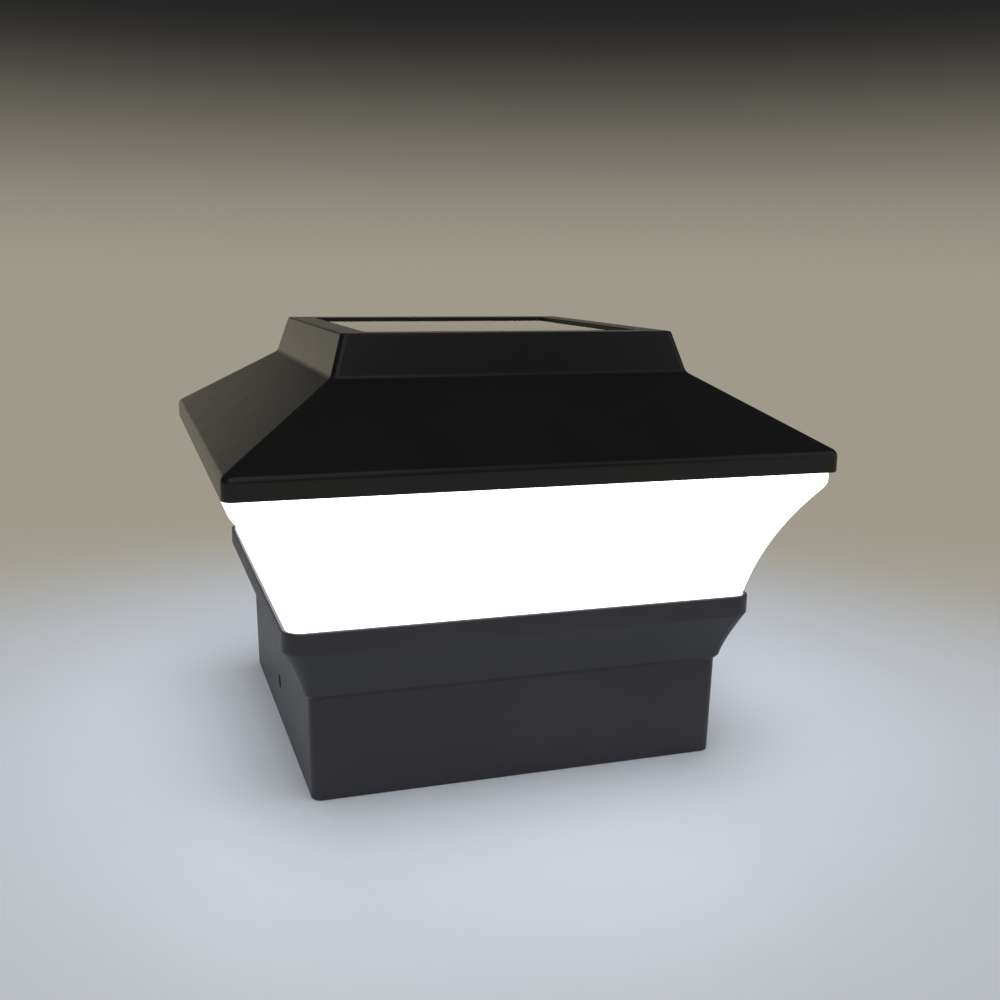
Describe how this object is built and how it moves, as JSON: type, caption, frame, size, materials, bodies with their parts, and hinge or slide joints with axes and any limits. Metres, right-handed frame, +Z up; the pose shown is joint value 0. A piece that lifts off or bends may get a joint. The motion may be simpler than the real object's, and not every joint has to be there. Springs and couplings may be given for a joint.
{
  "type": "deck post cap light",
  "caption": "Square solar light that caps a deck post: hipped roof with a solar panel, flared lit diffuser and a sleeve base with battery door and mode button.",
  "frame": {"origin": "centre of the sleeve's bottom edge, on the surface that the light stands on", "axes": "+Z up along the post, -Y is the face on the right of the picture, -X the face on its left"},
  "size_m": [0.1498, 0.1498, 0.1125],
  "materials": {
    "roof_plastic": "satin moulded black ABS",
    "base_plastic": "satin moulded charcoal ABS",
    "diffuser_plastic": "frosted white polycarbonate, lit from inside",
    "clear_cover": "clear resin sheet",
    "silicon_cell": "dark blue silicon",
    "tinned_ribbon": "tinned copper ribbon",
    "green_board": "green glass-fibre board",
    "white_board": "white solder mask",
    "foam": "black foam",
    "gasket_rubber": "silicone seal",
    "screw_steel": "zinc plated",
    "contact_steel": "nickel plated",
    "white_plastic": "glossy white ABS",
    "led_phosphor": "yellow phosphor under clear silicone",
    "black_epoxy": "moulded epoxy",
    "ceramic_parts": "ceramic",
    "red_wire": "red PVC",
    "black_wire": "black PVC",
    "battery_sleeve": "blue shrink sleeve over a steel can",
    "button_plastic": "light grey ABS"
  },
  "bodies": {
    "housing": {"roof_cap": "roof_plastic", "panel_tape": "foam", "panel_backing": "green_board", "solar_cells": "silicon_cell", "cell_ribbons": "tinned_ribbon", "panel_cover": "clear_cover", "roof_gasket": "gasket_rubber", "roof_screws": "screw_steel", "diffuser": "diffuser_plastic", "base_gasket": "gasket_rubber", "base": "base_plastic", "base_screws": "screw_steel", "reflector_plate": "white_plastic", "plate_screws": "screw_steel", "circuit_board": "white_board", "leds": "led_phosphor", "control_chip": "black_epoxy", "board_parts": "ceramic_parts", "wire_socket": "white_plastic", "wire_plug": "white_plastic", "solar_wire_red": "red_wire", "solar_wire_black": "black_wire", "battery_box": "white_plastic", "box_screws": "screw_steel", "battery": "battery_sleeve", "positive_contact": "contact_steel", "negative_contact": "contact_steel", "contact_spring": "contact_steel", "battery_wire_red": "red_wire", "battery_wire_black": "black_wire", "hinge_pin": "contact_steel", "door_seal": "foam", "mode_switch": "black_epoxy"},
    "battery_door": {"battery_door": "base_plastic"},
    "mode_button": {"mode_button": "button_plastic", "switch_plunger": "white_plastic"}
  },
  "joints": [
    {"name": "battery_door_hinge", "type": "hinge", "parent": "housing", "child": "battery_door", "pos_m": [0, -0.012, 0.0243], "axis": [-1, 0, 0], "range_deg": [0, 90]},
    {"name": "mode_button_press", "type": "slide", "parent": "housing", "child": "mode_button", "axis": [0, 0, 1], "range_m": [0, 0.0015], "stiffness_N_per_m": 300, "springref_m": -0.001}
  ]
}
